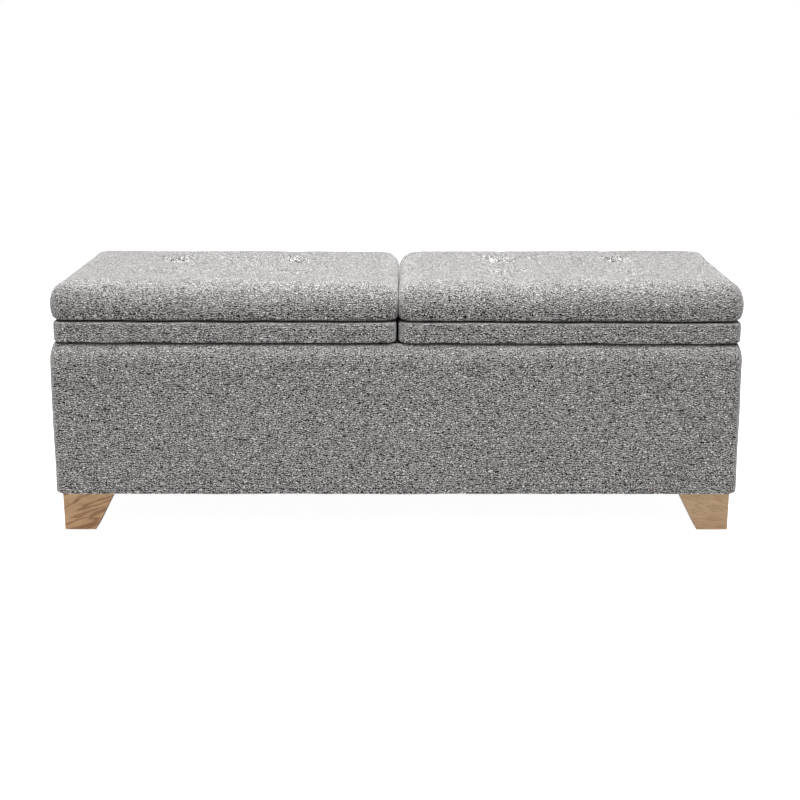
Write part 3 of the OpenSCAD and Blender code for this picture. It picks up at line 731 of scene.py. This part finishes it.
def make_bay_lining(side):
    """Black cloth tub in one bay: slack over its floor and corners, turned over the divider's top edge."""
    low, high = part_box(side + "_bay_lining")
    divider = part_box("centre_divider")[1].x
    tub_low, tub_high = low.copy(), high.copy()
    if side == "left":
        tub_high.x = -divider
    else:
        tub_low.x = divider
    flange, gap, floor_r = 7 * MM, 0.9 * MM, 9 * MM
    floor = low.z + gap
    top = high.z - 0.5 * MM
    # no creases where the lid's brackets hang close by
    flat_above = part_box(side + "_lid_strut_brackets")[0].z
    section = [(-flange, top), (-flange / 2, top)] + arc(gap - MM, top - MM, MM, 90, 180, 3)
    section += line((gap, top - MM), (gap, floor + floor_r), 11 * MM)
    bend = arc(gap + floor_r, floor + floor_r, floor_r, 180, 270, 5)
    section += [(2 * (gap + floor_r) - inset, z) for inset, z in bend]
    half_d = (tub_high.y - tub_low.y) / 2
    section += line((gap + floor_r, floor), (half_d - 4 * MM, floor), 11 * MM)
    lining = loft(side + "_bay_tub", tub_low, tub_high, 8 * MM, section, caps=(-1,), step=11 * MM)
    middle, half = (tub_low + tub_high) / 2, (tub_high - tub_low) / 2
    for vertex in lining.data.vertices:
        place = vertex.co
        if place.z > top - 0.1 * MM:
            far_side = SIGN[side] * (place.x - middle.x) > 0
            if far_side:
                place.x = middle.x + SIGN[side] * min(abs(place.x - middle.x), half.x - 0.3 * MM)
            place.y = max(min(place.y, half.y - 0.3 * MM), -half.y + 0.3 * MM)
            continue
        creases = 0.5 + abs(wander(place, 0.09, 71.0)) + 0.6 * abs(wander(place, 0.03, 77.0))
        deep = max(0.0, min(1.0, (flat_above - place.z) / (40 * MM)))
        place += 2.2 * MM * deep * creases * (-vertex.normal if facing_out(vertex, middle) else vertex.normal)
    welded = bmesh.new()
    welded.from_mesh(lining.data)
    bmesh.ops.remove_doubles(welded, verts=welded.verts, dist=0.05 * MM)
    welded.to_mesh(lining.data)
    welded.free()
    cloth = lining.modifiers.new("cloth", "SOLIDIFY")
    cloth.thickness = 0.6 * MM
    cloth.offset = 0
    bake(lining)
    finish_piece(lining, "carcass", "black_lining", side + "_bay_lining")


def facing_out(vertex, middle):
    return vertex.normal.dot(middle - vertex.co) < 0


def make_flat_lining(name, node, body, sag):
    """Black cloth drawn over a flat frame, with faint pulls and a little sag."""
    low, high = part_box(node)
    middle, half = (low + high) / 2, (high - low) / 2
    bm = bmesh.new()
    columns, rows = round(half.x / (6 * MM)), round(half.y / (6 * MM))
    bmesh.ops.create_grid(bm, x_segments=columns, y_segments=rows, size=1.0)
    for vert in bm.verts:
        u, v = vert.co.x, vert.co.y
        pulls = 0.25 * MM * wander((u, v, 0), 0.05, 83.0) * (1 - u * u) * (1 - v * v)
        vert.co = Vector((middle.x + u * half.x, middle.y + v * half.y,
                          low.z + 0.4 * MM + pulls - sag * (1 - u * u) * (1 - v * v)))
    lining = object_from(bm, name)
    cloth = lining.modifiers.new("cloth", "SOLIDIFY")
    cloth.thickness = 0.6 * MM
    cloth.offset = 0
    bake(lining)
    finish_piece(lining, body, "black_lining", node)


# ---------------------------------------------------------------- dressing the frame

def dress_frame():
    """Gives every CAD node that stays its material, and the four legs their small roundings."""
    slots = {part["node"]: part["material_slot"] for part in frame["record"]["subparts"]}
    for name, obj in frame["nodes"].items():
        obj.data.materials.clear()
        obj.data.materials.append(MATERIALS.get(name) or MATERIALS[slots[name]])
    for name in ("leg_front_left", "leg_front_right", "leg_rear_left", "leg_rear_right"):
        bevel = frame["nodes"][name].modifiers.new("eased", "BEVEL")
        bevel.width = 1.6 * MM
        bevel.segments = 3
        bevel.limit_method = "ANGLE"
        bevel.angle_limit = math.radians(30)


OAK_PALE, OAK_DARK = (0.66, 0.45, 0.26), (0.44, 0.26, 0.13)
MATERIALS = {
    "grey_cloth": slub_cloth(),
    "black_lining": lining_cloth(),
    "padding_foam": open_foam("padding_foam", (0.75, 0.71, 0.58)),
    "twine": coated("twine", (0.55, 0.48, 0.36), 0.85, grain=2500, depth=0.2),
    "ply": wood("ply", (0.62, 0.46, 0.30), (0.42, 0.28, 0.16), seed=3.1, rings=40, gloss=0.6),
    "pine": wood("pine", (0.70, 0.53, 0.33), (0.50, 0.31, 0.15), seed=5.7, rings=55, gloss=0.6),
    "oak": wood("oak", OAK_PALE, OAK_DARK, seed=1.3),
    "leg_front_left": wood("oak_front_left", (0.70, 0.44, 0.235), (0.32, 0.15, 0.065),
                           seed=8.3, tilt=0.35, rings=45, figure=0.95),
    "leg_front_right": wood("oak_front_right", OAK_PALE, OAK_DARK, seed=4.9),
    "leg_rear_left": wood("oak_rear_left", OAK_PALE, OAK_DARK, seed=2.2, tilt=-0.1),
    "leg_rear_right": wood("oak_rear_right", OAK_PALE, OAK_DARK, seed=6.4, tilt=0.15),
    "zinc_steel": plated_steel(),
    "black_tube": coated("black_tube", (0.012, 0.012, 0.013), 0.3),
    "glide_plastic": coated("glide_plastic", (0.05, 0.048, 0.045), 0.5),
    "bumper_rubber": coated("bumper_rubber", (0.02, 0.02, 0.02), 0.75),
}

aim_camera()
light_studio()
lay_floor()
dress_frame()
make_box_cover()
make_flat_lining("dust_sheet", "dust_cover", "carcass", 2.5 * MM)
for side in SIDES:
    make_cushion(side)
    make_buttons(side)
    make_band(side)
    make_bay_lining(side)
    make_flat_lining(side + "_lid_underside", side + "_lid_lining", side + "_lid", 0.2 * MM)
